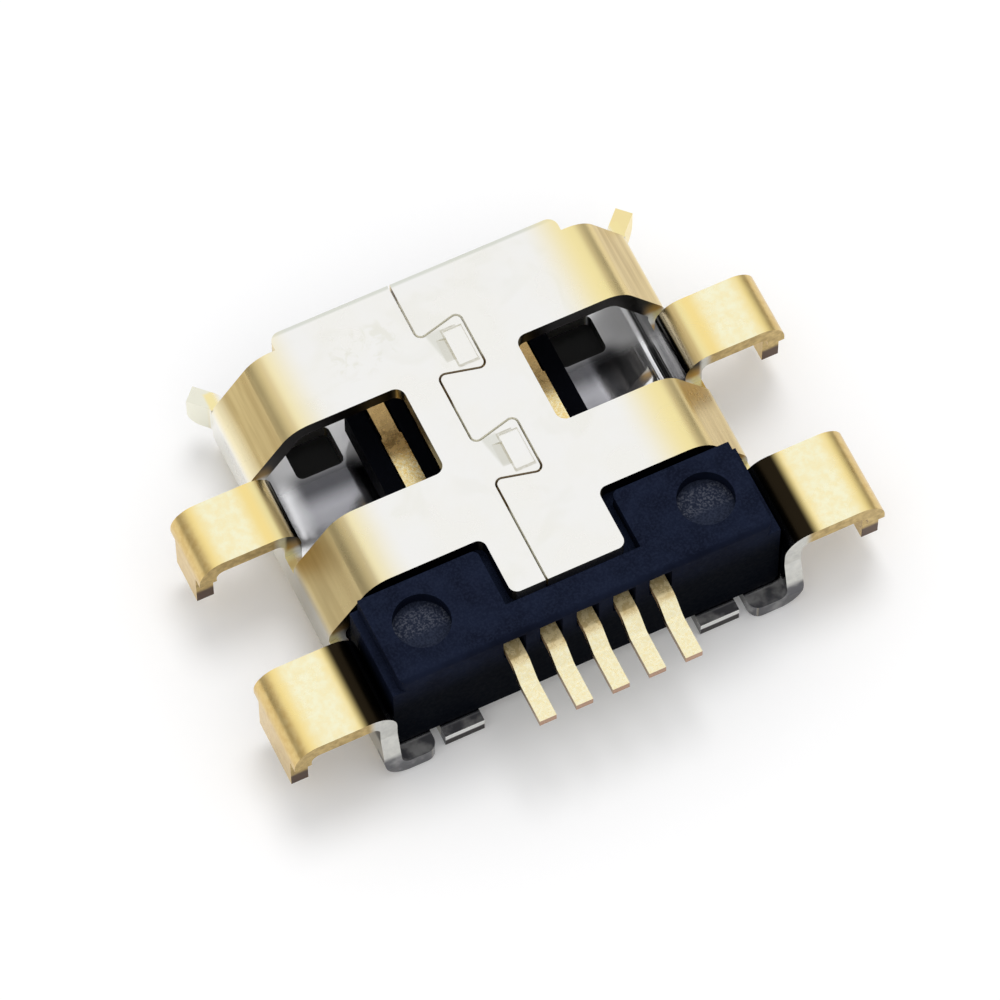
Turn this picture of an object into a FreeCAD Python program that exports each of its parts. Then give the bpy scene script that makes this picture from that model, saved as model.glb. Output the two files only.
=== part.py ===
import FreeCAD, Part
import math
import os
import Sketcher

# Mid-mount micro USB socket. All lengths are in millimetres.
# Every piece is drawn in one working frame: X across, Y = 0 at the front edge of
# the top and growing towards the solder tails, Z = 0 under the floor of the shell.
# The placements then bring the middle of the overall length to Y = 0.

SIZES = [
    ("sheet", 0.30, "thickness of the shell's plated sheet"),
    ("shell_width", 7.54, "outside width at the widest"),
    ("shell_height", 2.45, "outside height"),
    ("shoulder_drop", 1.14, "top to the height where the side would turn into the shoulder"),
    ("top_width", 5.94, "width of the top before its corners are rounded"),
    ("floor_bend", 0.45, "outside radius between floor and side"),
    ("shoulder_bend", 0.45, "outside radius between side and shoulder"),
    ("top_bend", 0.60, "outside radius between shoulder and top"),
    ("top_length", 5.95, "front edge to the rear edge of the top"),
    ("lip_length", 0.29, "lips of the top and the floor ahead of the mouth's sides"),
    ("lip_width", 5.16, "lips of the top and the floor across the shell"),
    ("lip_radius", 0.18, "corners of the lips"),
    ("spine_width", 2.04, "strip of the top between the windows and between the notches"),
    ("tongue_length", 1.11, "top's rear tongue between the rear notches"),
    ("notch_radius", 0.15, "corners of the notches and of the top's tongue"),
    ("relief_drop", 0.21, "start of the shoulder to the bottom of windows and notches"),
    ("window_front", 1.77, "front edge to the windows"),
    ("window_length", 1.71, "windows along the shell"),
    ("window_radius", 0.18, "inner corners of the windows"),
    ("latch_spacing", 4.80, "between the centres of the latch holes in the floor"),
    ("latch_front", 0.85, "front edge to the latch holes"),
    ("latch_length", 0.75, "latch holes along the shell"),
    ("latch_width", 0.85, "latch holes across the shell"),
    ("latch_radius", 0.12, "corners of the latch holes"),
    ("seam_gap", 0.04, "open joint where the two edges of the sheet meet"),
    ("seam_offset", 0.41, "seam to the middle of the top"),
    ("hook_length", 0.82, "dovetail tabs across the shell"),
    ("hook_neck", 0.71, "dovetail tabs at their root"),
    ("hook_head", 1.12, "dovetail tabs at their end"),
    ("hook_radius", 0.11, "corners of the dovetail tabs"),
    ("hook_first", 1.49, "front edge to the middle of the first dovetail tab"),
    ("hook_spacing", 2.11, "between the dovetail tabs"),
    ("mark_length", 0.68, "pressed mark in each dovetail tab, along the shell"),
    ("mark_width", 0.33, "pressed mark across the shell"),
    ("mark_inset", 0.06, "pressed mark to the end of its tab"),
    ("mark_depth", 0.03, "depth of the pressed mark"),
    ("dent_length", 0.44, "sunk ramp beside each mark, along the shell"),
    ("dent_width", 0.18, "sunk ramp across the shell"),
    ("dent_depth", 0.05, "sunk ramp where it ends at the mark"),
    ("leg_drop", 0.61, "top of the shell to the top face of the solder legs"),
    ("leg_span", 10.56, "over the outer faces of the legs"),
    ("leg_bend", 0.30, "bends of the legs, at the middle of the sheet"),
    ("leg_edge", 0.54, "height of the legs' outer faces"),
    ("pin_length", 0.80, "pins below the legs' outer faces"),
    ("pin_inset", 0.18, "leg pin to the edge of its leg"),
    ("mid_leg_gap", 0.23, "front of a window to its middle leg"),
    ("mid_leg_width", 1.15, "middle legs along the shell"),
    ("rear_leg_gap", 0.38, "front of a notch to its rear leg"),
    ("rear_leg_width", 1.57, "rear legs along the shell"),
    ("foot_overhang", 0.18, "feet of the rear legs behind the legs"),
    ("foot_radius", 0.20, "inner rear corners of the feet"),
    ("strap_inner", 5.65, "floor between the feet of the rear legs"),
    ("tab_overhang", 0.05, "floor's rear tabs behind the rear legs"),
    ("tab_inner", 3.90, "between the inner edges of the floor's rear tabs"),
    ("tab_width", 0.70, "floor's rear tabs across the shell"),
    ("floor_overhang", 0.30, "rear edge of the floor between the tabs, behind the top's"),
    ("ear_low", 0.62, "lower edge of the ears beside the mouth"),
    ("ear_overhang", 0.26, "ears ahead of the top's front edge"),
    ("ear_fold", 0.10, "side edges of the mouth to the fold line of the ears"),
    ("ear_angle", 45.0, "ears turned outwards, in degrees"),
    ("ear_bend", 0.22, "bend of the ears, at the middle of the sheet"),
    ("ear_rounding", 0.40, "ears' lower corner, as a share of their height"),
    ("fit", 0.02, "clearance between the housing and the metal"),
    ("notch_slit", 0.14, "front of a notch to the housing's rear block"),
    ("cap_length", 0.58, "wall at the end of the cavity, ahead of the rear block"),
    ("block_overhang", 0.67, "rear face of the housing behind the top's rear edge"),
    ("block_radius", 0.12, "rear edge and upright rear corners of the block"),
    ("wing_step", 0.14, "wings beyond the sides of the rear block"),
    ("wing_drop", 0.34, "top of the block to the top of its wings"),
    ("spine_slit", 0.18, "gap between the rear block and the sides of the top's tongue"),
    ("tongue_slit", 0.12, "gap behind the top's tongue"),
    ("bed_radius", 0.12, "front corners of the rear block beside the tongue"),
    ("eject_edge", 0.78, "sides of the block to the middle of the ejector marks"),
    ("eject_inset", 0.87, "rear face of the block to the middle of the ejector marks"),
    ("eject_radius", 0.48, "ejector marks"),
    ("eject_depth", 0.26, "depth of the ejector marks"),
    ("slot_width", 0.40, "slots above the tails"),
    ("slot_drop", 0.15, "top of the block to the roof of the slots"),
    ("slot_depth", 0.35, "slots into the rear face"),
    ("carrier_width", 3.64, "contact carrier in the cavity"),
    ("carrier_gap", 0.35, "floor of the cavity to the carrier"),
    ("carrier_height", 0.55, "thickness of the carrier"),
    ("carrier_front", 0.95, "front edge of the shell to the carrier's nose"),
    ("carrier_corner", 0.30, "cut corners of the carrier's nose"),
    ("contacts", 5, "number of contacts"),
    ("contact_spacing", 0.65, "between the contacts"),
    ("strip", 0.15, "thickness of the contacts"),
    ("tail_width", 0.30, "width of the contacts"),
    ("blade_width", 0.36, "width of the contacts' blades behind their noses"),
    ("blade_height", 0.05, "blades' faces above the carrier"),
    ("blade_front", 1.10, "front edge of the shell to the contacts' noses"),
    ("blade_wide", 1.95, "front edge of the shell to the wide part of the blades"),
    ("rise_gap", 0.20, "end of the cavity to the foot of the contacts' rise"),
    ("rise_length", 0.60, "contacts' rise inside the housing, along the shell"),
    ("tail_drop", 0.54, "top of the housing to the contacts where they leave it"),
    ("knee_overhang", 0.18, "rear face of the housing to the knee of the tails"),
    ("slope_length", 0.32, "knee of the tails to their soldered feet"),
    ("foot_length", 0.73, "soldered feet of the tails"),
    ("tail_bend", 0.16, "bends of the contacts, at the middle of the strip"),
]

# Angle between the shell's shoulder and the upright side wall.
LEAN = "atan((@shell_width - @top_width) / 2 / @shoulder_drop)"

# Places across the part.
SIDE_MIDDLE = "(@shell_width - @sheet) / 2"
BLOCK_SIDE = "(@shell_width / 2 - @sheet - @fit - @wing_step)"

# Heights.
SHOULDER = "(@shell_height - @shoulder_drop)"
RELIEF = "(@shell_height - @shoulder_drop - @relief_drop)"
LEG_TOP = "(@shell_height - @leg_drop)"
LEG_LIP = "(@shell_height - @leg_drop - @leg_edge)"
CARRIER_TOP = "(@sheet + @carrier_gap + @carrier_height)"
BLADE_TOP = "(@sheet + @carrier_gap + @carrier_height + @blade_height)"
TAIL_TOP = "(@shell_height - @tail_drop)"

# Places along the part.
NOTCH_FRONT = "(@top_length - @tongue_length)"
MID_LEG_FRONT = "(@window_front + @mid_leg_gap)"
REAR_LEG_FRONT = "(@top_length - @tongue_length + @rear_leg_gap)"
REAR_LEG_END = "(@top_length - @tongue_length + @rear_leg_gap + @rear_leg_width)"
FLOOR_END = "(@top_length + @floor_overhang)"
FOOT_END = ("(@top_length - @tongue_length + @rear_leg_gap + @rear_leg_width"
            " + @foot_overhang)")
BLOCK_FRONT = "(@top_length - @tongue_length + @notch_slit)"
WALL_FRONT = "(@top_length - @tongue_length + @notch_slit - @cap_length)"
BLOCK_REAR = "(@top_length + @block_overhang)"
TAIL_KNEE = "(@top_length + @block_overhang + @knee_overhang)"
TAIL_FOOT = "(@top_length + @block_overhang + @knee_overhang + @slope_length)"
TAIL_END = ("(@top_length + @block_overhang + @knee_overhang + @slope_length"
            " + @foot_length)")


def fill_sheet(doc):
    """Write every driving size to the spreadsheet under its own name."""
    sheet = doc.addObject("Spreadsheet::Sheet", "Sizes")
    for row, (name, size, note) in enumerate(SIZES, start=1):
        sheet.set("A%d" % row, name)
        sheet.set("B%d" % row, str(size))
        sheet.set("C%d" % row, note)
        sheet.setAlias("B%d" % row, name)
    doc.recompute()
    return sheet


def bind(thing, path, formula):
    """Tie a property to a formula in which @name is a size of the sheet."""
    thing.setExpression(path, formula.replace("@", "Sizes."))


def new_body(doc, label, across="0"):
    """A body whose placement centres the overall length on Y = 0."""
    body = doc.addObject("PartDesign::Body", label)
    body.Label = label
    bind(body, "Placement.Base.x", across)
    bind(body, "Placement.Base.y", "(@ear_overhang - %s) / 2" % TAIL_END)
    return body


def origin_part(body, role):
    """One of the body's own origin planes or axes."""
    return [item for item in body.Origin.OriginFeatures if item.Role == role][0]


def new_sketch(body, name, plane, height="0"):
    """A sketch on an origin plane of the body, moved along the plane's normal."""
    sketch = body.newObject("Sketcher::SketchObject", name)
    sketch.AttachmentSupport = [(origin_part(body, plane), "")]
    sketch.MapMode = "FlatFace"
    bind(sketch, "AttachmentOffset.Base.z", height)
    return sketch


def measure(sketch, constraint, formula):
    """Add a constraint and tie its value to a formula."""
    index = sketch.addConstraint(constraint)
    bind(sketch, "Constraints[%d]" % index, formula)


def corner_points(sketch, corners):
    """Construction points at the corners, each tied to its two formulas."""
    points = []
    for step, corner in enumerate(corners, start=1):
        point = sketch.addGeometry(Part.Point(FreeCAD.Vector(step, step, 0)), True)
        measure(sketch, Sketcher.Constraint("DistanceX", -1, 1, point, 1, step), corner[0])
        measure(sketch, Sketcher.Constraint("DistanceY", -1, 1, point, 1, step), corner[1])
        points.append(point)
    sketch.recompute()
    return points


def round_corner(sketch, corner, before, after, radius):
    """A tangent arc between the end of one line and the start of the next."""
    start = sketch.getPoint(before, 2)
    end = sketch.getPoint(after, 1)
    reach = (start - corner).Length
    half_angle = (start - corner).getAngle(end - corner) / 2
    bisector = ((start + end) / 2 - corner).normalize()
    crown = corner + bisector * (reach * (1 - math.sin(half_angle)) / math.cos(half_angle))
    arc = sketch.addGeometry(Part.Arc(start, crown, end))
    first = 1 if (sketch.getPoint(arc, 1) - start).Length < reach / 10 else 2
    sketch.addConstraint(Sketcher.Constraint("Tangent", before, 2, arc, first))
    sketch.addConstraint(Sketcher.Constraint("Tangent", after, 1, arc, 3 - first))
    size = sketch.Geometry[arc].Radius
    measure(sketch, Sketcher.Constraint("Radius", arc, size), radius)


def first_trims(spots, corners):
    """How far the lines first stay away from each corner; none at sharp ones."""
    trims = []
    for place, corner in enumerate(corners):
        before = (spots[place] - spots[place - 1]).Length
        after = (spots[(place + 1) % len(spots)] - spots[place]).Length
        trims.append(0.2 * min(before, after) if len(corner) == 3 else 0.0)
    return trims


def wire(sketch, corners, closed=True):
    """Lines between corners, given as (x, y) or, where rounded, (x, y, radius)."""
    points = corner_points(sketch, corners)
    spots = [sketch.getPoint(point, 1) for point in points]
    trims = first_trims(spots, corners)
    count = len(corners)
    lines = []
    for here in range(count if closed else count - 1):
        there = (here + 1) % count
        way = (spots[there] - spots[here]).normalize()
        start = spots[here] + way * trims[here]
        end = spots[there] - way * trims[there]
        line = sketch.addGeometry(Part.LineSegment(start, end))
        lines.append(line)
        for end_number, place in ((1, here), (2, there)):
            if trims[place]:
                rule = Sketcher.Constraint("PointOnObject", points[place], 1, line)
            else:
                rule = Sketcher.Constraint("Coincident", line, end_number, points[place], 1)
            sketch.addConstraint(rule)
    for place, corner in enumerate(corners):
        if trims[place]:
            round_corner(sketch, spots[place], lines[place - 1], lines[place], corner[2])


def rectangle(sketch, left, right, low, high, radius=None):
    """A rectangle between four formulas, with rounded corners if asked."""
    corners = [(left, low), (right, low), (right, high), (left, high)]
    if radius:
        corners = [corner + (radius,) for corner in corners]
    wire(sketch, corners)


def circle(sketch, across, along, radius):
    """A circle whose centre and radius are tied to formulas."""
    ring = sketch.addGeometry(Part.Circle(FreeCAD.Vector(1, 1, 0), FreeCAD.Vector(0, 0, 1), 1))
    measure(sketch, Sketcher.Constraint("DistanceX", -1, 1, ring, 3, 1.0), across)
    measure(sketch, Sketcher.Constraint("DistanceY", -1, 1, ring, 3, 1.0), along)
    measure(sketch, Sketcher.Constraint("Radius", ring, 1.0), radius)


def pad(sketch, length, along_normal=True):
    """Add the sketch's outline, extruded, to its body."""
    body = sketch.getParentGeoFeatureGroup()
    feature = body.newObject("PartDesign::Pad", sketch.Name + "Pad")
    feature.Profile = sketch
    bind(feature, "Length", length)
    feature.Reversed = not along_normal
    return feature


def pocket(sketch, length, along_normal=True):
    """Cut the sketch's outline, extruded, out of its body."""
    body = sketch.getParentGeoFeatureGroup()
    feature = body.newObject("PartDesign::Pocket", sketch.Name + "Cut")
    feature.Profile = sketch
    bind(feature, "Length", length)
    feature.Reversed = along_normal
    return feature


def sweep(kind, section, path):
    """Carry a section along a path, to add it to the body or to cut it out."""
    body = section.getParentGeoFeatureGroup()
    feature = body.newObject("PartDesign::" + kind, path.Name + "Sweep")
    feature.Profile = section
    feature.Spine = path
    return feature


def mirror(body, name, features):
    """Repeat features on the other side of the middle plane."""
    feature = body.newObject("PartDesign::Mirrored", name)
    feature.Originals = features
    feature.MirrorPlane = (origin_part(body, "YZ_Plane"), [""])
    body.Tip = feature


def repeat(body, name, features, count, spacing):
    """Repeat features across the part at an even spacing."""
    feature = body.newObject("PartDesign::LinearPattern", name)
    feature.Originals = features
    feature.Direction = (origin_part(body, "X_Axis"), [""])
    bind(feature, "Occurrences", count)
    bind(feature, "Length", "(%s - 1) * %s" % (count, spacing))
    body.Tip = feature


def soften(body, kind, name, places, size):
    """Fillet or chamfer the edges of the body that pass through the places."""
    body.Document.recompute()
    base = body.Tip
    names = []
    for place in places:
        spot = Part.Vertex(FreeCAD.Vector(*place))
        for number, edge in enumerate(base.Shape.Edges, start=1):
            if edge.distToShape(spot)[0] < 1e-4:
                names.append("Edge%d" % number)
    feature = body.newObject("PartDesign::" + kind, name)
    feature.Base = (base, names)
    bind(feature, "Radius" if kind == "Fillet" else "Size", size)


def shell_outline(sketch, inset="0"):
    """The shell's cross-section, drawn inside its outer face by an inset."""
    side = "@shell_width / 2 - %s" % inset
    shoulder = "%s - %s * tan(%s / 2)" % (SHOULDER, inset, LEAN)
    top_side = "@top_width / 2 - %s * tan((90 deg - %s) / 2)" % (inset, LEAN)
    top = "@shell_height - %s" % inset
    floor_radius = "@floor_bend - %s" % inset
    shoulder_radius = "@shoulder_bend - %s" % inset
    top_radius = "@top_bend - %s" % inset
    wire(sketch, [
        ("-(%s)" % side, inset, floor_radius),
        (side, inset, floor_radius),
        (side, shoulder, shoulder_radius),
        (top_side, top, top_radius),
        ("-(%s)" % top_side, top, top_radius),
        ("-(%s)" % side, shoulder, shoulder_radius),
    ])


def add_tube(body):
    """The closed sleeve that takes the plug."""
    outside = new_sketch(body, "SleeveOutside", "XZ_Plane")
    shell_outline(outside)
    pad(outside, "@top_length", along_normal=False)
    inside = new_sketch(body, "SleeveInside", "XZ_Plane")
    shell_outline(inside, "@sheet")
    pocket(inside, "@top_length", along_normal=False)


def add_cradle(body):
    """Floor and lower side walls, which run on behind the sleeve."""
    path = new_sketch(body, "Cradle", "XZ_Plane", "-@lip_length")
    bend = "@floor_bend - @sheet / 2"
    wire(path, [
        ("-" + SIDE_MIDDLE, RELIEF),
        ("-" + SIDE_MIDDLE, "@sheet / 2", bend),
        (SIDE_MIDDLE, "@sheet / 2", bend),
        (SIDE_MIDDLE, RELIEF),
    ], closed=False)
    section = new_sketch(body, "CradleSection", "XY_Plane", RELIEF)
    rectangle(section, "-@shell_width / 2", "@sheet - @shell_width / 2",
              "@lip_length", FOOT_END)
    sweep("AdditivePipe", section, path)


def cut_mouth(body):
    """Sides of the mouth, set back behind the lips of the top and the floor."""
    side = new_sketch(body, "MouthSide", "XY_Plane")
    rectangle(side, "@lip_width / 2", "@shell_width", "-@sheet", "@lip_length")
    mirror(body, "MouthSides", [pocket(side, "@shell_height + @sheet")])
    size = body.Document.Sizes
    half = size.lip_width / 2
    places = []
    for height in (size.sheet / 2, size.shell_height - size.sheet / 2):
        places += [(side * half, 0, height) for side in (-1, 1)]
    soften(body, "Fillet", "LipCorners", places, "@lip_radius")


def cut_floor_edge(body):
    """Rear edge of the cradle: slanted straps, rounded feet and two floor tabs."""
    slant = new_sketch(body, "StrapSlant", "YZ_Plane", "-@shell_width")
    beyond = FOOT_END + " + @sheet"
    wire(slant, [
        (REAR_LEG_END, RELIEF),
        (FOOT_END, "@sheet"),
        (beyond, "@sheet"),
        (beyond, "@shell_height"),
        (REAR_LEG_END, "@shell_height"),
    ])
    pocket(slant, "@shell_width * 2")
    middle = new_sketch(body, "FloorMiddle", "XY_Plane")
    rectangle(middle, "-@tab_inner / 2", "@tab_inner / 2", FLOOR_END, beyond)
    pocket(middle, "@sheet * 1.5")
    ends = new_sketch(body, "TabEnds", "XY_Plane")
    rectangle(ends, "-@strap_inner / 2", "@strap_inner / 2",
              REAR_LEG_END + " + @tab_overhang", beyond)
    pocket(ends, "@sheet * 1.5")
    slot = new_sketch(body, "FloorSlot", "XY_Plane")
    rectangle(slot, "@tab_inner / 2 + @tab_width", "@strap_inner / 2", FLOOR_END, beyond)
    mirror(body, "FloorSlots", [pocket(slot, "@sheet * 1.5")])
    size = body.Document.Sizes
    rear = size.top_length - size.tongue_length + size.rear_leg_gap + size.rear_leg_width
    rear += size.foot_overhang
    places = [(side * size.strap_inner / 2, rear, size.sheet / 2) for side in (-1, 1)]
    soften(body, "Fillet", "FootCorners", places, "@foot_radius")


def cut_openings(body):
    """Windows, rear notches and latch holes, the same on both sides."""
    window = new_sketch(body, "Window", "XY_Plane", RELIEF)
    rear = "@window_front + @window_length"
    wire(window, [
        ("@spine_width / 2", "@window_front", "@window_radius"),
        ("@shell_width", "@window_front"),
        ("@shell_width", rear),
        ("@spine_width / 2", rear, "@window_radius"),
    ])
    notch = new_sketch(body, "Notch", "XY_Plane", RELIEF)
    wire(notch, [
        ("@spine_width / 2", NOTCH_FRONT, "@notch_radius"),
        ("@shell_width", NOTCH_FRONT),
        ("@shell_width", "@top_length + @sheet"),
        ("@spine_width / 2", "@top_length + @sheet"),
    ])
    latch = new_sketch(body, "Latch", "XY_Plane")
    rectangle(latch, "(@latch_spacing - @latch_width) / 2", "(@latch_spacing + @latch_width) / 2",
              "@latch_front", "@latch_front + @latch_length", "@latch_radius")
    cuts = [
        pocket(window, "@shell_height"),
        pocket(notch, "@shell_height"),
        pocket(latch, "@sheet * 1.5"),
    ]
    mirror(body, "Openings", cuts)


def cut_seam(body):
    """The joint of the folded sheet, with two dovetail tabs hooked across it."""
    path = new_sketch(body, "Seam", "XY_Plane", "@shell_height - @sheet / 2")
    corners = [("@seam_offset", "-@sheet")]
    for centre in ("@hook_first", "@hook_first + @hook_spacing"):
        head = "@seam_offset - @hook_length"
        corners += [
            ("@seam_offset", centre + " - @hook_neck / 2", "@hook_radius"),
            (head, centre + " - @hook_head / 2", "@hook_radius"),
            (head, centre + " + @hook_head / 2", "@hook_radius"),
            ("@seam_offset", centre + " + @hook_neck / 2", "@hook_radius"),
        ]
    corners.append(("@seam_offset", "@top_length + @sheet"))
    wire(path, corners, closed=False)
    section = new_sketch(body, "SeamSection", "XZ_Plane", "@sheet")
    rectangle(section, "@seam_offset - @seam_gap / 2", "@seam_offset + @seam_gap / 2",
              "@shell_height - @sheet * 2", "@shell_height + @sheet")
    sweep("SubtractivePipe", section, path)


def cut_marks(body):
    """A shallow pressed rectangle in each dovetail tab, with a ramp sunk beside it."""
    marks = new_sketch(body, "Marks", "XY_Plane", "@shell_height")
    start = "@seam_offset - @hook_length + @mark_inset"
    for centre in ("@hook_first", "@hook_first + @hook_spacing"):
        rectangle(marks, start, start + " + @mark_width",
                  centre + " - @mark_length / 2", centre + " + @mark_length / 2")
    pocket(marks, "@mark_depth", along_normal=False)
    side = start + " + @mark_width"
    for name, centre in (("FirstDent", "@hook_first"),
                         ("SecondDent", "@hook_first + @hook_spacing")):
        dent = new_sketch(body, name, "XZ_Plane", "@dent_length / 2 - (%s)" % centre)
        wire(dent, [
            (side, "@shell_height - @dent_depth"),
            (side + " + @dent_width", "@shell_height"),
            (side + " + @dent_width", "@shell_height + @sheet"),
            (side, "@shell_height + @sheet"),
        ])
        pocket(dent, "@dent_length", along_normal=False)


def add_leg(body, name, front, width):
    """A solder leg bent out of the side wall, with its pin."""
    path = new_sketch(body, name, "XZ_Plane", "-%s - %s / 2" % (front, width))
    outer_middle = "(@leg_span - @sheet) / 2"
    wire(path, [
        (SIDE_MIDDLE, RELIEF),
        (SIDE_MIDDLE, LEG_TOP + " - @sheet / 2", "@leg_bend"),
        (outer_middle, LEG_TOP + " - @sheet / 2", "@leg_bend"),
        (outer_middle, LEG_LIP),
    ], closed=False)
    section = new_sketch(body, name + "Section", "XY_Plane", RELIEF)
    rectangle(section, "@shell_width / 2 - @sheet", "@shell_width / 2",
              front, "%s + %s" % (front, width))
    leg = sweep("AdditivePipe", section, path)
    pin = new_sketch(body, name + "Pin", "XY_Plane", LEG_LIP)
    rectangle(pin, "@leg_span / 2 - @sheet", "@leg_span / 2",
              front + " + @pin_inset", "%s + %s - @pin_inset" % (front, width))
    return [leg, pad(pin, "@pin_length", along_normal=False)]


def add_ears(body):
    """The side walls' front ends, turned outwards beside the mouth."""
    path = new_sketch(body, "Ear", "XY_Plane", "@ear_low")
    fold = "(@lip_length - @ear_fold)"
    tip = "(@sheet / 2 * sin(@ear_angle) - @ear_overhang)"
    wire(path, [
        (SIDE_MIDDLE, "@lip_length"),
        (SIDE_MIDDLE, fold, "@ear_bend"),
        ("%s + (%s - %s) * tan(@ear_angle)" % (SIDE_MIDDLE, fold, tip), tip),
    ], closed=False)
    section = new_sketch(body, "EarSection", "XZ_Plane", "-@lip_length")
    rectangle(section, "@shell_width / 2 - @sheet", "@shell_width / 2", "@ear_low", SHOULDER)
    mirror(body, "Ears", [sweep("AdditivePipe", section, path)])
    body.Document.recompute()
    end = max((corner.Point for corner in path.Shape.Vertexes), key=lambda point: point.x)
    places = [(side * end.x, end.y, body.Document.Sizes.ear_low) for side in (-1, 1)]
    soften(body, "Fillet", "EarCorners", places,
           "(%s - @ear_low) * @ear_rounding" % SHOULDER)


def build_shell(doc):
    """The shell: one plated sheet, cut, folded round and hooked along its seam."""
    body = new_body(doc, "shell")
    size = doc.Sizes
    add_tube(body)
    cut_mouth(body)
    add_cradle(body)
    cut_floor_edge(body)
    cut_openings(body)
    middle = size.shell_height - size.sheet / 2
    corner = size.spine_width / 2
    places = [(side * corner, size.top_length, middle) for side in (-1, 1)]
    soften(body, "Fillet", "TongueCorners", places, "@notch_radius")
    add_ears(body)
    legs = add_leg(body, "MidLeg", MID_LEG_FRONT, "@mid_leg_width")
    legs += add_leg(body, "RearLeg", REAR_LEG_FRONT, "@rear_leg_width")
    mirror(body, "Legs", legs)
    cut_seam(body)
    cut_marks(body)
    return body


def contact_path(body, name):
    """Side view of a contact: blade, rise inside the housing, tail and foot."""
    path = new_sketch(body, name, "YZ_Plane")
    blade = BLADE_TOP + " - @strip / 2"
    root = TAIL_TOP + " - @strip / 2"
    foot = LEG_TOP + " - @sheet + @strip / 2"
    rise = WALL_FRONT + " + @rise_gap"
    wire(path, [
        ("@blade_front", blade),
        (rise, blade, "@tail_bend"),
        (rise + " + @rise_length", root, "@tail_bend"),
        (TAIL_KNEE, root, "@tail_bend"),
        (TAIL_FOOT, foot, "@tail_bend"),
        (TAIL_END, foot),
    ], closed=False)
    return path


def contact_section(body, name, middle, clearance):
    """Cross-section of a contact at its nose, with a clearance all round."""
    section = new_sketch(body, name, "XZ_Plane", "-@blade_front")
    half = "(@tail_width / 2 + %s)" % clearance
    rectangle(section, "%s - %s" % (middle, half), "%s + %s" % (middle, half),
              "%s - @strip - %s" % (BLADE_TOP, clearance), "%s + %s" % (BLADE_TOP, clearance))
    return section


def build_contact(doc, number):
    """One stamped contact of the row."""
    across = "(%d - (@contacts - 1) / 2) * @contact_spacing" % number
    body = new_body(doc, "contact_%d" % (number + 1), across)
    path = contact_path(body, "Strip%d" % number)
    section = contact_section(body, "StripSection%d" % number, "0", "0")
    sweep("AdditivePipe", section, path)
    blade = new_sketch(body, "Blade%d" % number, "XY_Plane", BLADE_TOP + " - @strip")
    rectangle(blade, "-@blade_width / 2", "@blade_width / 2", "@blade_wide", WALL_FRONT)
    pad(blade, "@strip")
    return body


def add_block(body):
    """Rear block with its wings, and the part that closes the sleeve."""
    length = "@tongue_length + @block_overhang - @notch_slit"
    block = new_sketch(body, "Block", "XZ_Plane", "-" + BLOCK_FRONT)
    floor = "@sheet + @fit"
    rectangle(block, "-" + BLOCK_SIDE, BLOCK_SIDE, floor, "@shell_height")
    pad(block, length, along_normal=False)
    wings = new_sketch(body, "Wings", "XZ_Plane", "-" + BLOCK_FRONT)
    side = "(%s + @wing_step)" % BLOCK_SIDE
    top = "@shell_height - @wing_drop"
    wire(wings, [
        ("-" + side, floor, "@floor_bend - @sheet"),
        (side, floor, "@floor_bend - @sheet"),
        (side, top),
        ("-" + side, top),
    ])
    pad(wings, length, along_normal=False)
    cap = new_sketch(body, "Cap", "XZ_Plane", "-" + WALL_FRONT)
    shell_outline(cap, "(@sheet + @fit)")
    pad(cap, "@cap_length", along_normal=False)


def soften_block(body):
    """Rounded rear edge of the block and its two upright rear corners."""
    size = body.Document.Sizes
    half = size.shell_width / 2 - size.sheet - size.fit - size.wing_step
    rear = size.top_length + size.block_overhang
    mid_height = size.shell_height - size.wing_drop / 2
    places = [(0, rear, size.shell_height)]
    places += [(side * half, rear, mid_height) for side in (-1, 1)]
    soften(body, "Fillet", "BlockEdges", places, "@block_radius")


def add_carrier(body):
    """The carrier that holds the contacts in the plug's cavity."""
    sketch = new_sketch(body, "Carrier", "XY_Plane", "@sheet + @carrier_gap")
    half = "@carrier_width / 2"
    root = WALL_FRONT + " + @fit"
    wire(sketch, [
        ("-" + half, root),
        ("-" + half, "@carrier_front + @carrier_corner"),
        ("@carrier_corner - " + half, "@carrier_front"),
        (half + " - @carrier_corner", "@carrier_front"),
        (half, "@carrier_front + @carrier_corner"),
        (half, root),
    ])
    pad(sketch, "@carrier_height")


def cut_block(body):
    """Room for the top's tongue, and the ejector marks."""
    bed = new_sketch(body, "SpineBed", "XY_Plane", "@shell_height")
    rectangle(bed, "-@spine_width / 2 - @spine_slit", "@spine_width / 2 + @spine_slit",
              BLOCK_FRONT + " - @fit", "@top_length + @tongue_slit")
    pocket(bed, "@sheet + @fit", along_normal=False)
    size = body.Document.Sizes
    half = size.spine_width / 2 + size.spine_slit
    front = size.top_length - size.tongue_length + size.notch_slit
    middle = size.shell_height - size.sheet / 2
    places = [(side * half, front, middle) for side in (-1, 1)]
    soften(body, "Fillet", "BedCorners", places, "@bed_radius")
    marks = new_sketch(body, "EjectorMarks", "XY_Plane", "@shell_height")
    for side in ("-", ""):
        circle(marks, "%s(%s - @eject_edge)" % (side, BLOCK_SIDE),
               BLOCK_REAR + " - @eject_inset", "@eject_radius")
    pocket(marks, "@eject_depth", along_normal=False)


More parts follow.
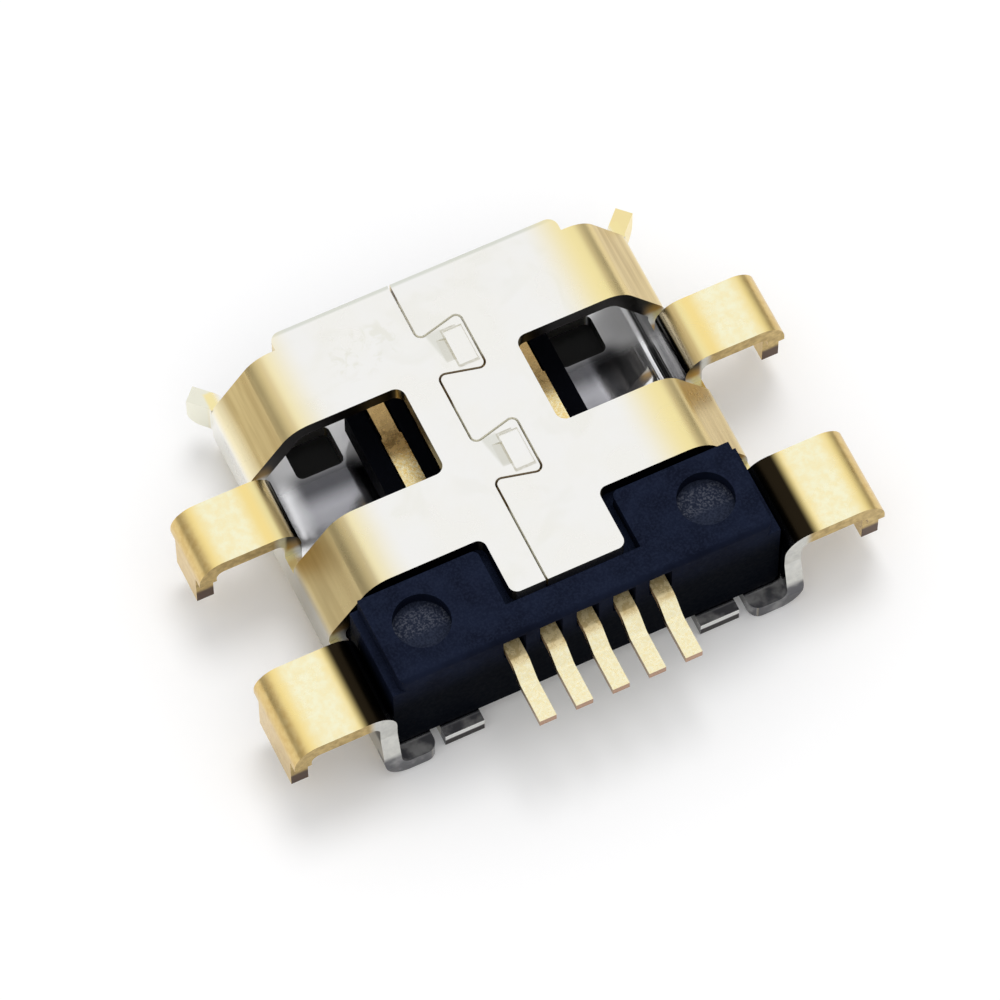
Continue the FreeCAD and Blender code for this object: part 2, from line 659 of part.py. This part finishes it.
def cut_contact_ways(body):
    """Grooves, channels and rear slots for the row of contacts."""
    first = "-(@contacts - 1) / 2 * @contact_spacing"
    groove = new_sketch(body, "Groove", "XY_Plane", CARRIER_TOP)
    half = "(@blade_width / 2 + @fit)"
    rectangle(groove, "%s - %s" % (first, half), "%s + %s" % (first, half),
              "@blade_front - @fit", WALL_FRONT + " + @fit")
    slot = new_sketch(body, "Slot", "XZ_Plane", "-" + BLOCK_REAR)
    half = "@slot_width / 2"
    rectangle(slot, "%s - %s" % (first, half), "%s + %s" % (first, half),
              TAIL_TOP + " - @strip", "@shell_height - @slot_drop")
    path = contact_path(body, "Channel")
    section = contact_section(body, "ChannelSection", first, "@fit")
    ways = [
        pocket(groove, "@strip + @fit - @blade_height", along_normal=False),
        pocket(slot, "@slot_depth"),
        sweep("SubtractivePipe", section, path),
    ]
    repeat(body, "ContactWays", ways, "@contacts", "@contact_spacing")


def build_housing(doc):
    """The moulded housing that holds the contacts and closes the shell."""
    body = new_body(doc, "housing")
    add_block(body)
    soften_block(body)
    add_carrier(body)
    cut_block(body)
    cut_contact_ways(body)
    return body


def check(doc, bodies):
    """Stop if anything failed to build, or if a cut or copy changed nothing."""
    for item in doc.Objects:
        if "Invalid" in item.State or "Error" in item.State:
            raise RuntimeError("%s did not build: %s" % (item.Name, item.State))
        base = getattr(item, "BaseFeature", None)
        if base and abs(item.Shape.Volume - base.Shape.Volume) < 1e-7:
            raise RuntimeError("%s changes nothing" % item.Name)
    for body in bodies:
        shape = body.Shape
        if shape.isNull() or not shape.isValid() or len(shape.Solids) != 1:
            raise RuntimeError("%s is not one sound solid" % body.Label)


def main():
    doc = FreeCAD.newDocument("micro_usb_socket")
    sheet = fill_sheet(doc)
    bodies = [build_shell(doc), build_housing(doc)]
    bodies += [build_contact(doc, number) for number in range(int(sheet.contacts))]
    doc.recompute()
    check(doc, bodies)
    os.makedirs("parts", exist_ok=True)
    for body in bodies:
        body.Shape.exportStep("parts/%s.step" % body.Label)
        print(body.Label, round(body.Shape.Volume, 4), body.Shape.BoundBox)


main()
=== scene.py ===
import math
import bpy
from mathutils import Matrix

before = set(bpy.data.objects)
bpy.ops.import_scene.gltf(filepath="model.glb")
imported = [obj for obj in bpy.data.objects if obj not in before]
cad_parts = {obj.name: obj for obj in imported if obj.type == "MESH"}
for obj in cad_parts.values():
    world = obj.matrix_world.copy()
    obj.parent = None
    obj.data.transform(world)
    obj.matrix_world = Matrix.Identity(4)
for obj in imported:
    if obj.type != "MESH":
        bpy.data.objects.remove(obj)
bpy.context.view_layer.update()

from types import SimpleNamespace

import bpy
from mathutils import Vector

MM = 0.001

# Camera
AIM = Vector((0.0, 0.206, 1.2)) * MM
DISTANCE = 123.46 * MM
AZIMUTH, ELEVATION = math.radians(25.68), math.radians(62.98)
TOWARDS = Vector((
    math.sin(AZIMUTH) * math.cos(ELEVATION),
    math.cos(AZIMUTH) * math.cos(ELEVATION),
    math.sin(ELEVATION),
))

# Studio
KEY_PLACE = (-0.06, -0.10, 0.28)
KEY_SIZE = 0.14
KEY_POWER = 0.27
HORIZON_LIGHT, OVERHEAD_LIGHT = 0.34, 0.94
FLOOR_HALF = 600 * MM
FLOOR_DROP = 0.02 * MM
FLOOR_GLOW = 0.08

# Places on the part, in millimetres
TOP = 2.45
SHEET = 0.30
UNDER_TOP = TOP - SHEET
FRONT = -3.795
SIDE = 3.77
LEG_TOP = 1.84
BLOCK_REAR = 2.825
MARK_MIDDLE, MARK_SPACING = -2.305, 2.11


def add_camera():
    """A long lens that looks down on the part from the solder tails' side."""
    data = bpy.data.cameras.new("Camera")
    data.lens = 273.2
    data.sensor_width = 36.0
    data.shift_x = -0.0172
    data.shift_y = 0.0072
    data.clip_start = 0.01
    data.clip_end = 5.0
    camera = bpy.data.objects.new("Camera", data)
    bpy.context.scene.collection.objects.link(camera)
    camera.location = AIM + TOWARDS * DISTANCE
    camera.rotation_euler = TOWARDS.to_track_quat("Z", "Y").to_euler()
    bpy.context.scene.camera = camera


# Node helpers
class Nodes:
    """Builds a material's node tree with short calls. Lengths are in millimetres."""

    def __init__(self, name):
        self.material = bpy.data.materials.new(name)
        self.material.use_nodes = True
        self.tree = self.material.node_tree
        self.shader = self.tree.nodes["Principled BSDF"]
        coordinates = self.add("ShaderNodeTexCoord").outputs["Object"]
        self.place = self.scaled(1 / MM, 1 / MM, 1 / MM, coordinates)
        self.x, self.y, self.z = self.split(self.place)
        self.wide = self.math("ABSOLUTE", self.x)
        self.nx, self.ny, self.nz = self.split(self.add("ShaderNodeNewGeometry").outputs["Normal"])

    def add(self, kind, **settings):
        node = self.tree.nodes.new(kind)
        for key, value in settings.items():
            setattr(node, key, value)
        return node

    def feed(self, socket, value):
        """Link a socket to another one, or set it to a number or colour."""
        if isinstance(value, bpy.types.NodeSocket):
            self.tree.links.new(value, socket)
        elif isinstance(value, tuple) and socket.type == "RGBA":
            socket.default_value = (*value, 1.0)
        else:
            socket.default_value = value

    def math(self, operation, a, b=0.0):
        node = self.add("ShaderNodeMath", operation=operation)
        self.feed(node.inputs[0], a)
        self.feed(node.inputs[1], b)
        return node.outputs[0]

    def split(self, vector):
        node = self.add("ShaderNodeSeparateXYZ")
        self.feed(node.inputs[0], vector)
        return node.outputs

    def scaled(self, x, y, z, vector=None):
        node = self.add("ShaderNodeVectorMath", operation="MULTIPLY")
        self.feed(node.inputs[0], vector or self.place)
        node.inputs[1].default_value = (x, y, z)
        return node.outputs[0]

    def noise(self, per_mm, detail=3.0, rough=0.55, stretch=(1, 1, 1), distortion=0.0):
        """Cloudy noise with about per_mm forms to a millimetre."""
        node = self.add("ShaderNodeTexNoise")
        self.feed(node.inputs["Vector"], self.scaled(*(per_mm * s for s in stretch)))
        node.inputs["Scale"].default_value = 1.0
        node.inputs["Detail"].default_value = detail
        node.inputs["Roughness"].default_value = rough
        node.inputs["Distortion"].default_value = distortion
        return node.outputs["Fac"]

    def span(self, value, low, high, to_low=0.0, to_high=1.0):
        """A smooth step between two limits, which may also stand in falling order."""
        node = self.add("ShaderNodeMapRange", interpolation_type="SMOOTHSTEP")
        for name, number in (
            ("Value", value),
            ("From Min", low),
            ("From Max", high),
            ("To Min", to_low),
            ("To Max", to_high),
        ):
            self.feed(node.inputs[name], number)
        return node.outputs["Result"]

    def between(self, value, low, high, soft=0.06):
        """A band from low to high that fades out over soft at each end."""
        return self.times(self.span(value, low - soft, low), self.span(value, high + soft, high))

    def mix(self, factor, a, b):
        """From colour a to colour b. Inputs 6 and 7 are the Mix node's two colours."""
        node = self.add("ShaderNodeMix", data_type="RGBA")
        self.feed(node.inputs[0], factor)
        self.feed(node.inputs[6], a)
        self.feed(node.inputs[7], b)
        return node.outputs[2]

    def bump(self, height, strength, distance, normal=None):
        node = self.add("ShaderNodeBump")
        node.inputs["Strength"].default_value = strength
        node.inputs["Distance"].default_value = distance * MM
        self.feed(node.inputs["Height"], height)
        if normal:
            self.feed(node.inputs["Normal"], normal)
        return node.outputs[0]

    def times(self, *factors):
        result = factors[0]
        for factor in factors[1:]:
            result = self.math("MULTIPLY", result, factor)
        return result

    def most(self, *values):
        """The largest of several values."""
        result = values[0]
        for value in values[1:]:
            result = self.math("MAXIMUM", result, value)
        return result

    def inverse(self, value):
        return self.math("SUBTRACT", 1.0, value)

    def size(self, value, low, high):
        """How far a number's size, without its sign, lies between two limits."""
        return self.span(self.math("ABSOLUTE", value), low, high)


# Shell
def mark_turn(n):
    """Distance along Y from the middle of the nearer pressed mark."""
    half = MARK_SPACING / 2
    turn = n.math("FLOORED_MODULO", n.math("ADD", n.y, half - MARK_MIDDLE), MARK_SPACING)
    return n.math("SUBTRACT", turn, half)


def pressed_marks(n):
    """Where the two pressed marks have their grey ramps, and their thin outlines: both are painted
    shade.
    """
    here = n.times(n.span(n.z, TOP - 0.12, TOP - 0.08), n.span(n.y, 0.85, 0.80))
    slant = n.math("ADD", n.x, n.times(n.along, 0.2))
    ramp_shade = n.times(
        here,
        n.span(slant, 0.23, 0.17),
        n.span(n.x, -0.01, 0.02),
        n.between(n.along, -0.36, 0.16, 0.08),
    )
    side = n.times(n.between(n.x, -0.006, 0.016, 0.012), n.between(n.along, -0.36, 0.36, 0.02))
    front = n.times(n.between(n.along, -0.37, -0.35, 0.012), n.between(n.x, -0.24, 0.0, 0.03))
    rear = n.times(n.between(n.along, 0.345, 0.375, 0.03), n.between(n.x, -0.34, 0.0, 0.03))
    return ramp_shade, n.times(here, n.most(side, front, rear))


def top_face(n):
    """Flat top painted pale as a painted highlight, with faint olive stains and the pressed marks."""
    pale = n.mix(n.span(n.cloud, 0.35, 0.65), (0.945, 0.935, 0.895), (0.960, 0.955, 0.935))
    patch = n.times(n.between(n.x, 0.75, 1.70, 0.35), n.between(n.y, -3.15, -2.60, 0.25))
    blotch = n.span(n.noise(4.0, 3.0, 0.6, distortion=0.8), 0.46, 0.66)
    faint = n.span(n.noise(1.2, 2.0, 0.5, distortion=0.8), 0.54, 0.70)
    stain = n.most(n.times(patch, blotch, 0.35), n.times(faint, 0.12))
    pale = n.mix(stain, pale, (0.76, 0.75, 0.62))
    # painted reflection: a thin grey-green line along the mouth's rounded front edge
    rim_reflection = n.span(n.y, FRONT + 0.085, FRONT + 0.035)
    pale = n.mix(n.times(rim_reflection, 0.6), pale, (0.62, 0.65, 0.56))
    # painted shade: the marks' ramps greyed and their outlines darker
    ramp_shade, outline_shade = pressed_marks(n)
    pale = n.mix(n.times(ramp_shade, 0.7), pale, (0.74, 0.74, 0.67))
    return n.mix(n.times(outline_shade, n.span(n.speck, 0.30, 0.60, 0.35, 0.7)), pale, (0.50, 0.47, 0.36))


def shell_regions(n):
    """Masks, from 0 to 1, of the places on the shell that differ in finish.

    tuck is the inner bend of the rear legs, painted near black as shade, flank the sides of the strip
    between the windows, painted near black as a dark reflection, seam the walls of the folded joint,
    low the sheet near the floor at the rear, where painted shade falls, and foot the feet that reach
    out behind the housing, painted a dull grey that stands in for their reflections.
    """
    at = SimpleNamespace()
    at.up = n.span(n.nz, 0.80, 0.99)
    at.cut = n.size(n.ny, 0.80, 0.95)
    at.rearward = n.span(n.ny, 0.70, 0.90)
    at.plus_half = n.span(n.x, 0.0, 1.0)
    at.leg = n.span(n.wide, SIDE + 0.05, SIDE + 0.21)

    # painted highlight: the pale top reaches further out on the plus side
    reach = n.math("ADD", n.wide, n.span(n.x, 0.5, -0.5, 0.0, 0.30))
    at.top = n.times(at.up, n.span(n.z, TOP - 0.15, TOP - 0.05), n.span(reach, 3.05, 2.20))
    at.side = n.times(n.size(n.nx, 0.70, 0.95), n.span(n.z, 1.45, 1.15), n.inverse(at.leg))
    outward = n.math("MULTIPLY", n.math("SIGN", n.x), n.nx)
    at.inner = n.times(
        n.span(n.wide, SIDE - 0.11, SIDE - 0.27),
        n.span(n.z, UNDER_TOP + 0.07, UNDER_TOP + 0.01),
        n.span(outward, 0.60, 0.40),
        n.inverse(at.cut),
    )
    at.front_floor = n.times(at.inner, n.span(n.z, 1.00, 0.60), n.span(n.y, -1.95, -2.30))
    at.tuck = n.times(
        n.span(n.wide, SIDE - 0.37, SIDE - 0.27),
        n.span(n.wide, SIDE + 0.37, SIDE + 0.17),
        n.span(n.y, 1.15, 1.30),
        n.span(n.z, 0.9, 1.1),
    )
    outside = n.times(n.span(n.y, -3.50, -3.60), n.span(n.wide, SIDE - 0.03, SIDE + 0.03))
    at.ears = n.most(n.span(n.y, FRONT - 0.005, FRONT - 0.065), outside)

    steep = n.span(n.nz, 0.55, 0.40)
    at.flank = n.times(
        steep,
        n.size(n.nx, 0.75, 0.90),
        n.span(n.z, UNDER_TOP - 0.05, UNDER_TOP + 0.01),
        n.between(n.wide, 0.95, 1.10),
    )
    at.seam = n.times(
        steep,
        n.span(n.z, UNDER_TOP + 0.07, UNDER_TOP + 0.13),
        n.span(n.wide, 0.75, 0.65),
        n.between(n.y, FRONT + 0.055, 2.08, 0.03),
    )
    at.low = n.times(n.span(n.z, 0.62, 0.48), n.inverse(at.leg), n.span(n.y, 2.0, 2.5))
    at.foot = n.times(
        n.span(n.y, BLOCK_REAR + 0.015, BLOCK_REAR + 0.075),
        n.span(n.z, 0.62, 0.50),
        n.inverse(at.leg),
        n.inverse(at.cut),
    )
    return at


def shoulder_gold_and_shading(n, at):
    """Gold of the shoulders with painted reflection and shade: a browner band, duller to the rear of
    the plus side; painted highlights low at the front of the plus side and where level.
    """
    gold = n.mix(n.cloud, (0.78, 0.62, 0.29), (0.88, 0.72, 0.37))
    # painted reflection: a browner band across the slanted faces
    band = n.times(n.between(n.z, 1.60, 2.10, 0.30), n.span(n.streak, 0.30, 0.70, 0.45, 0.95))
    gold = n.mix(band, gold, (0.52, 0.38, 0.16))
    # painted shade: darker to the rear on the plus side
    shade = n.times(at.plus_half, n.span(n.y, -3.2, 1.0, 0.10, 0.55))
    gold = n.mix(shade, gold, (0.42, 0.34, 0.18))
    # painted highlight: paler low down at the front of the plus side
    glow = n.times(at.plus_half, n.span(n.z, 1.70, 1.40), n.span(n.y, -0.8, -1.4))
    gold = n.mix(glow, gold, (0.91, 0.81, 0.53))
    # painted highlight: paler where the face is level
    return n.mix(n.span(n.nz, 0.92, 0.99, 0.0, 0.85), gold, (0.98, 0.85, 0.42))


def leg_gold_and_shading(n, at):
    """Gold of the legs, with painted shade browner in the bends and a painted highlight palest in the
    middle of the flat tops.
    """
    # painted highlight: palest in the middle of the flat tops
    middle = n.times(n.between(n.wide, 4.30, 4.70, 0.30), n.span(n.grain, 0.30, 0.70, 0.60, 1.0))
    plate = n.mix(middle, (0.98, 0.78, 0.32), (1.0, 0.97, 0.70))
    # painted shade: browner in the bends
    bend_shade = n.mix(n.span(n.grain, 0.30, 0.70), (0.68, 0.48, 0.18), (0.77, 0.58, 0.25))
    flat = n.times(at.up, n.span(n.z, LEG_TOP - 0.18, LEG_TOP - 0.04))
    return n.mix(flat, bend_shade, plate)


def side_wall(n, at):
    """Pale flash of the side walls, with painted shade greyer towards the rear on the plus side."""
    # painted shade: greyer towards the rear on the plus side
    painted_shade = n.times(at.plus_half, n.span(n.y, -1.2, 0.2))
    return n.mix(painted_shade, (0.94, 0.93, 0.88), (0.54, 0.52, 0.46))


def cavity_nickel_and_shading(n, at):
    """Bare nickel of the cavity, with painted shade: dim on the floor under the windows and dark on
    the walls.
    """
    nickel = n.mix(n.streak, (0.88, 0.88, 0.90), (0.96, 0.96, 0.96))
    # painted shade: the floor under the windows, darkest towards the front
    dusk = n.times(
        at.up,
        n.span(n.z, 0.50, 0.40),
        n.span(n.y, -2.45, -2.10),
        n.between(n.wide, 1.90, 2.80, 0.35),
    )
    dim = n.mix(n.span(n.y, -1.95, -1.50), (0.13, 0.13, 0.14), (0.62, 0.62, 0.65))
    nickel = n.mix(dusk, nickel, dim)
    # painted shade: the cavity's walls dark
    wall_shade = n.mix(n.span(n.streak, 0.40, 0.70), (0.03, 0.03, 0.03), (0.20, 0.19, 0.18))
    return n.mix(n.size(n.nx, 0.60, 0.85), nickel, wall_shade)


def sheared_faces(n, at):
    """Cut faces of the sheet: grey, brown on the legs; painted shade dark at the pins and feet,
    painted shade with a painted highlight line on the tabs, and painted reflection dark at the
    windows.
    """
    bare = n.mix(n.span(n.grain, 0.30, 0.70), (0.60, 0.60, 0.57), (0.70, 0.70, 0.66))
    edge = n.mix(n.span(n.grain, 0.30, 0.70), (0.40, 0.28, 0.10), (0.62, 0.46, 0.19))
    # painted shade: the legs' cut faces dark low down at the pins
    edge = n.mix(n.span(n.z, 0.86, 0.74), edge, (0.10, 0.06, 0.04))
    sheared = n.mix(at.leg, bare, edge)
    # painted shade: a dark grey mottle on the cut faces near the floor at the rear
    low_shade = n.mix(n.worn, (0.15, 0.15, 0.16), (0.32, 0.32, 0.32))
    sheared = n.mix(at.low, sheared, low_shade)
    # painted shade and highlight: the tabs' rear faces dark, with a painted highlight line along their
    # top edge
    tab = n.times(at.low, n.span(n.wide, 2.74, 2.70), at.rearward)
    tab_shading = n.mix(n.between(n.z, 0.18, 0.30, 0.03), (0.04, 0.035, 0.035), (0.97, 0.97, 0.95))
    sheared = n.mix(tab, sheared, tab_shading)
    # painted reflection: rear-facing cut faces higher up near black, browner low at the sides
    dark_cut_reflection = n.times(
        at.rearward,
        n.span(n.z, 1.22, 1.40),
        n.span(n.wide, SIDE + 0.01, SIDE - 0.07),
        n.span(n.y, 1.30, 1.20),
    )
    amber = n.times(n.span(n.z, 1.75, 1.35), n.span(n.wide, 3.30, 3.50))
    return n.mix(dark_cut_reflection, sheared, n.mix(amber, (0.014, 0.010, 0.007), (0.42, 0.26, 0.08)))


def shell_colour(n, at):
    """Lays the finishes and the painted shade, reflections and highlights over each other, the later
    ones on top.
    """
    ear = n.mix(n.span(n.x, -0.5, 0.5), (0.95, 0.80, 0.40), (0.88, 0.87, 0.74))
    slit = n.mix(n.between(n.along, 0.38, 0.85, 0.12), (1.0, 0.98, 0.88), (0.48, 0.40, 0.28))
    colour = n.mix(at.leg, shoulder_gold_and_shading(n, at), leg_gold_and_shading(n, at))
    for mask, finish in (
        # painted highlight: the flat top pale
        (at.top, top_face(n)),
        (at.side, side_wall(n, at)),
        # painted shade: the rear legs' inner bends near black
        (at.tuck, (0.018, 0.013, 0.007)),
        (at.ears, ear),
        (at.inner, cavity_nickel_and_shading(n, at)),
        (at.cut, sheared_faces(n, at)),
        # painted reflection: the strip's sides between the windows near black
        (at.flank, (0.03, 0.022, 0.016)),
        (at.seam, slit),
        # painted reflection: the feet a dull grey mottle
        (at.foot, n.mix(n.worn, (0.09, 0.09, 0.10), (0.30, 0.30, 0.30))),
    ):
        colour = n.mix(mask, colour, finish)
    return colour


def plating_and_shading():
    """Gold flash over nickel, rich on the legs, bare nickel inside; pale on top as a painted
    highlight, with painted shade, reflections and highlights on the shoulders, legs, cut faces and
    cavity.
    """
    n = Nodes("shell_plating")
    n.cloud = n.noise(0.9)
    n.grain = n.noise(8.0, 4.0, 0.6)
    n.streak = n.noise(2.6, 3.0, 0.6, stretch=(3.4, 0.16, 1.0))
    n.speck = n.noise(17.0, 3.0, 0.65)
    n.worn = n.span(n.noise(3.0, 3.0, 0.5), 0.42, 0.64)
    n.along = mark_turn(n)
    at = shell_regions(n)
    n.feed(n.shader.inputs["Base Color"], shell_colour(n, at))
    matt = n.most(at.seam, n.times(at.front_floor, 0.8), n.times(at.foot, 0.75))
    n.feed(n.shader.inputs["Metallic"], n.inverse(matt))

    rough = n.span(n.cloud, 0.3, 0.7, 0.26, 0.33)
    rough = n.math("ADD", rough, n.times(at.inner, -0.20))
    rough = n.math("ADD", rough, n.times(at.cut, 0.10))
    n.feed(n.shader.inputs["Roughness"], rough)

    scratch = n.noise(5.0, 2.0, 0.5, stretch=(1.0, 0.06, 1.0), distortion=0.3)
    bump = n.bump(n.cloud, 0.25, 0.015)
    bump = n.bump(n.noise(8.0, 1.0), 0.06, 0.004, bump)
    bump = n.bump(scratch, 0.05, 0.004, bump)
    n.feed(n.shader.inputs["Normal"], bump)
    return n.material


# Housing
def moulding():
    """Navy-black plastic with a fine matt grain, paler in the ejector marks, with painted shade darker
    low on the side faces and on the carrier.
    """
    n = Nodes("housing_plastic")
    cloud = n.noise(1.6, 4.0, 0.6)
    grain = n.noise(11.0, 4.0, 0.65)
    fine = n.noise(28.0, 3.0, 0.6)
    level = n.span(n.nz, 0.8, 0.95)
    dark = n.mix(n.span(cloud, 0.30, 0.70), (0.0052, 0.0070, 0.0160), (0.0092, 0.0130, 0.0290))
    dusty = n.times(level, n.span(fine, 0.40, 0.65), 0.45)
    dark = n.mix(dusty, dark, (0.0165, 0.0225, 0.0440))
    # painted shade: side faces darker towards the bottom
    lower_shade = n.times(n.inverse(level), n.span(n.z, 2.3, 1.4))
    dark = n.mix(lower_shade, dark, (0.0015, 0.0024, 0.0048))
    # painted shade: the carrier inside the shell darker
    carrier_shade = n.span(n.y, 0.9, 0.7)
    dark = n.mix(carrier_shade, dark, (0.0020, 0.0024, 0.0040))
    mark = n.times(n.between(n.z, 2.16, 2.22, 0.03), level, n.between(n.y, 1.40, 2.50))
    floor = n.mix(n.span(fine, 0.35, 0.65), (0.014, 0.018, 0.033), (0.027, 0.034, 0.058))
    bright = n.times(n.between(n.y, 1.68, 1.95, 0.15), n.span(fine, 0.46, 0.66), 0.6)
    floor = n.mix(bright, floor, (0.100, 0.105, 0.125))
    n.feed(n.shader.inputs["Base Color"], n.mix(mark, dark, floor))
    n.feed(n.shader.inputs["Roughness"], n.span(grain, 0.3, 0.7, 0.50, 0.66))
    n.shader.inputs["Specular IOR Level"].default_value = 0.012
    bump = n.bump(grain, 0.30, 0.012)
    bump = n.bump(fine, 0.20, 0.005, bump)
    n.feed(n.shader.inputs["Normal"], bump)
    return n.material


# Contacts
def contact_gold():
    """Gold over the contact strip: bright at the feet, matt and painted darker as shade where it
    leaves the housing, painted shade on the blades in the cavity with a painted highlight on their
    rear parts.
    """
    n = Nodes("contact_gold")
    grain = n.noise(9.0, 4.0, 0.6)
    speck = n.noise(20.0, 3.0, 0.65)
    root = n.times(n.span(n.y, 3.14, 3.00), n.span(n.y, 2.0, 2.2))
    foot = n.mix(n.span(speck, 0.30, 0.70), (0.97, 0.85, 0.50), (1.0, 0.95, 0.69))
    # painted shade: the roots where they leave the housing
    painted_shade = n.mix(n.span(grain, 0.30, 0.70), (0.60, 0.45, 0.20), (0.84, 0.70, 0.40))
    # painted shade: the blades inside the cavity
    blade = n.mix(n.span(grain, 0.25, 0.75), (0.54, 0.36, 0.14), (0.68, 0.47, 0.20))
    # painted highlight: the blades' rear parts, lit through the shell's windows
    bright = n.mix(n.span(speck, 0.36, 0.64), (0.92, 0.68, 0.26), (1.0, 0.90, 0.58))
    blade = n.mix(n.span(n.y, -1.65, -1.25), blade, bright)
    colour = n.mix(root, foot, painted_shade)
    colour = n.mix(n.span(n.y, 1.0, 0.8), colour, blade)
    colour = n.mix(n.size(n.ny, 0.85, 0.97), colour, (0.42, 0.25, 0.16))
    colour = n.mix(n.size(n.nx, 0.80, 0.95), colour, (0.50, 0.34, 0.18))
    n.feed(n.shader.inputs["Base Color"], colour)
    n.feed(n.shader.inputs["Metallic"], n.inverse(n.times(root, 0.75)))
    n.feed(n.shader.inputs["Roughness"], n.span(grain, 0.3, 0.7, 0.22, 0.32))
    bump = n.bump(grain, 0.12, 0.006)
    n.feed(n.shader.inputs["Normal"], n.bump(speck, 0.05, 0.002, bump))
    return n.material


def dress(node, material):
    """Give a node its finish. Its edges stay as the solid has them."""
    node.data.materials.clear()
    node.data.materials.append(material)


# Floor and light
def add_floor():
    """A white table. Deep under the part it is painted dark, a painted shadow where hardly any light
    reaches it.
    """
    half = FLOOR_HALF
    corners = [(-half, -half, 0), (half, -half, 0), (half, half, 0), (-half, half, 0)]
    mesh = bpy.data.meshes.new("Floor")
    mesh.from_pydata(corners, [], [(0, 1, 2, 3)])
    floor = bpy.data.objects.new("Floor", mesh)
    floor.location.z = -FLOOR_DROP
    bpy.context.scene.collection.objects.link(floor)
    n = Nodes("Floor")
    # painted shadow: the table near black under the part
    under = n.times(n.span(n.wide, 3.2, 2.9), n.between(n.y, -3.4, 2.1, 0.3))
    n.feed(n.shader.inputs["Base Color"], n.mix(under, (0.90, 0.90, 0.905), (0.02, 0.02, 0.02)))
    n.shader.inputs["Roughness"].default_value = 0.9
    n.shader.inputs["Specular IOR Level"].default_value = 0.1
    path = n.add("ShaderNodeLightPath")
    seen = n.most(
        path.outputs["Is Camera Ray"],
        path.outputs["Is Glossy Ray"],
        path.outputs["Is Transmission Ray"],
    )
    n.shader.inputs["Emission Color"].default_value = (1.0, 1.0, 1.0, 1.0)
    n.feed(n.shader.inputs["Emission Strength"], n.times(seen, n.inverse(under), FLOOR_GLOW))
    mesh.materials.append(n.material)


def add_key_lamp():
    """A round lamp above the part, towards the plug mouth. The metal doesn't mirror it."""
    data = bpy.data.lights.new("Key", "AREA")
    data.shape = "DISK"
    data.size = KEY_SIZE
    data.energy = KEY_POWER
    lamp = bpy.data.objects.new("Key", data)
    lamp.location = KEY_PLACE
    lamp.rotation_euler = (Vector(KEY_PLACE) - AIM).to_track_quat("Z", "Y").to_euler()
    lamp.visible_glossy = False
    bpy.context.scene.collection.objects.link(lamp)


def add_world():
    """A white dome over the part, greyer towards the horizon."""
    world = bpy.data.worlds.new("Studio")
    bpy.context.scene.world = world
    world.use_nodes = True
    tree = world.node_tree
    tree.nodes.clear()
    out = tree.nodes.new("ShaderNodeOutputWorld")
    background = tree.nodes.new("ShaderNodeBackground")
    background.inputs["Color"].default_value = (1.0, 1.0, 1.0, 1.0)
    direction = tree.nodes.new("ShaderNodeTexCoord")
    split = tree.nodes.new("ShaderNodeSeparateXYZ")
    height = tree.nodes.new("ShaderNodeMapRange")
    height.interpolation_type = "SMOOTHSTEP"
    for name, number in (
        ("From Min", 0.05),
        ("From Max", 0.80),
        ("To Min", HORIZON_LIGHT),
        ("To Max", OVERHEAD_LIGHT),
    ):
        height.inputs[name].default_value = number
    tree.links.new(direction.outputs["Generated"], split.inputs[0])
    tree.links.new(split.outputs[2], height.inputs["Value"])
    tree.links.new(height.outputs[0], background.inputs["Strength"])
    tree.links.new(background.outputs[0], out.inputs[0])


add_camera()
add_floor()
add_world()
add_key_lamp()
finishes = {"shell": plating_and_shading(), "housing": moulding()}
contact_finish = contact_gold()
for name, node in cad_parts.items():
    dress(node, finishes.get(name, contact_finish))

bpy.context.scene.view_settings.view_transform = "Standard"
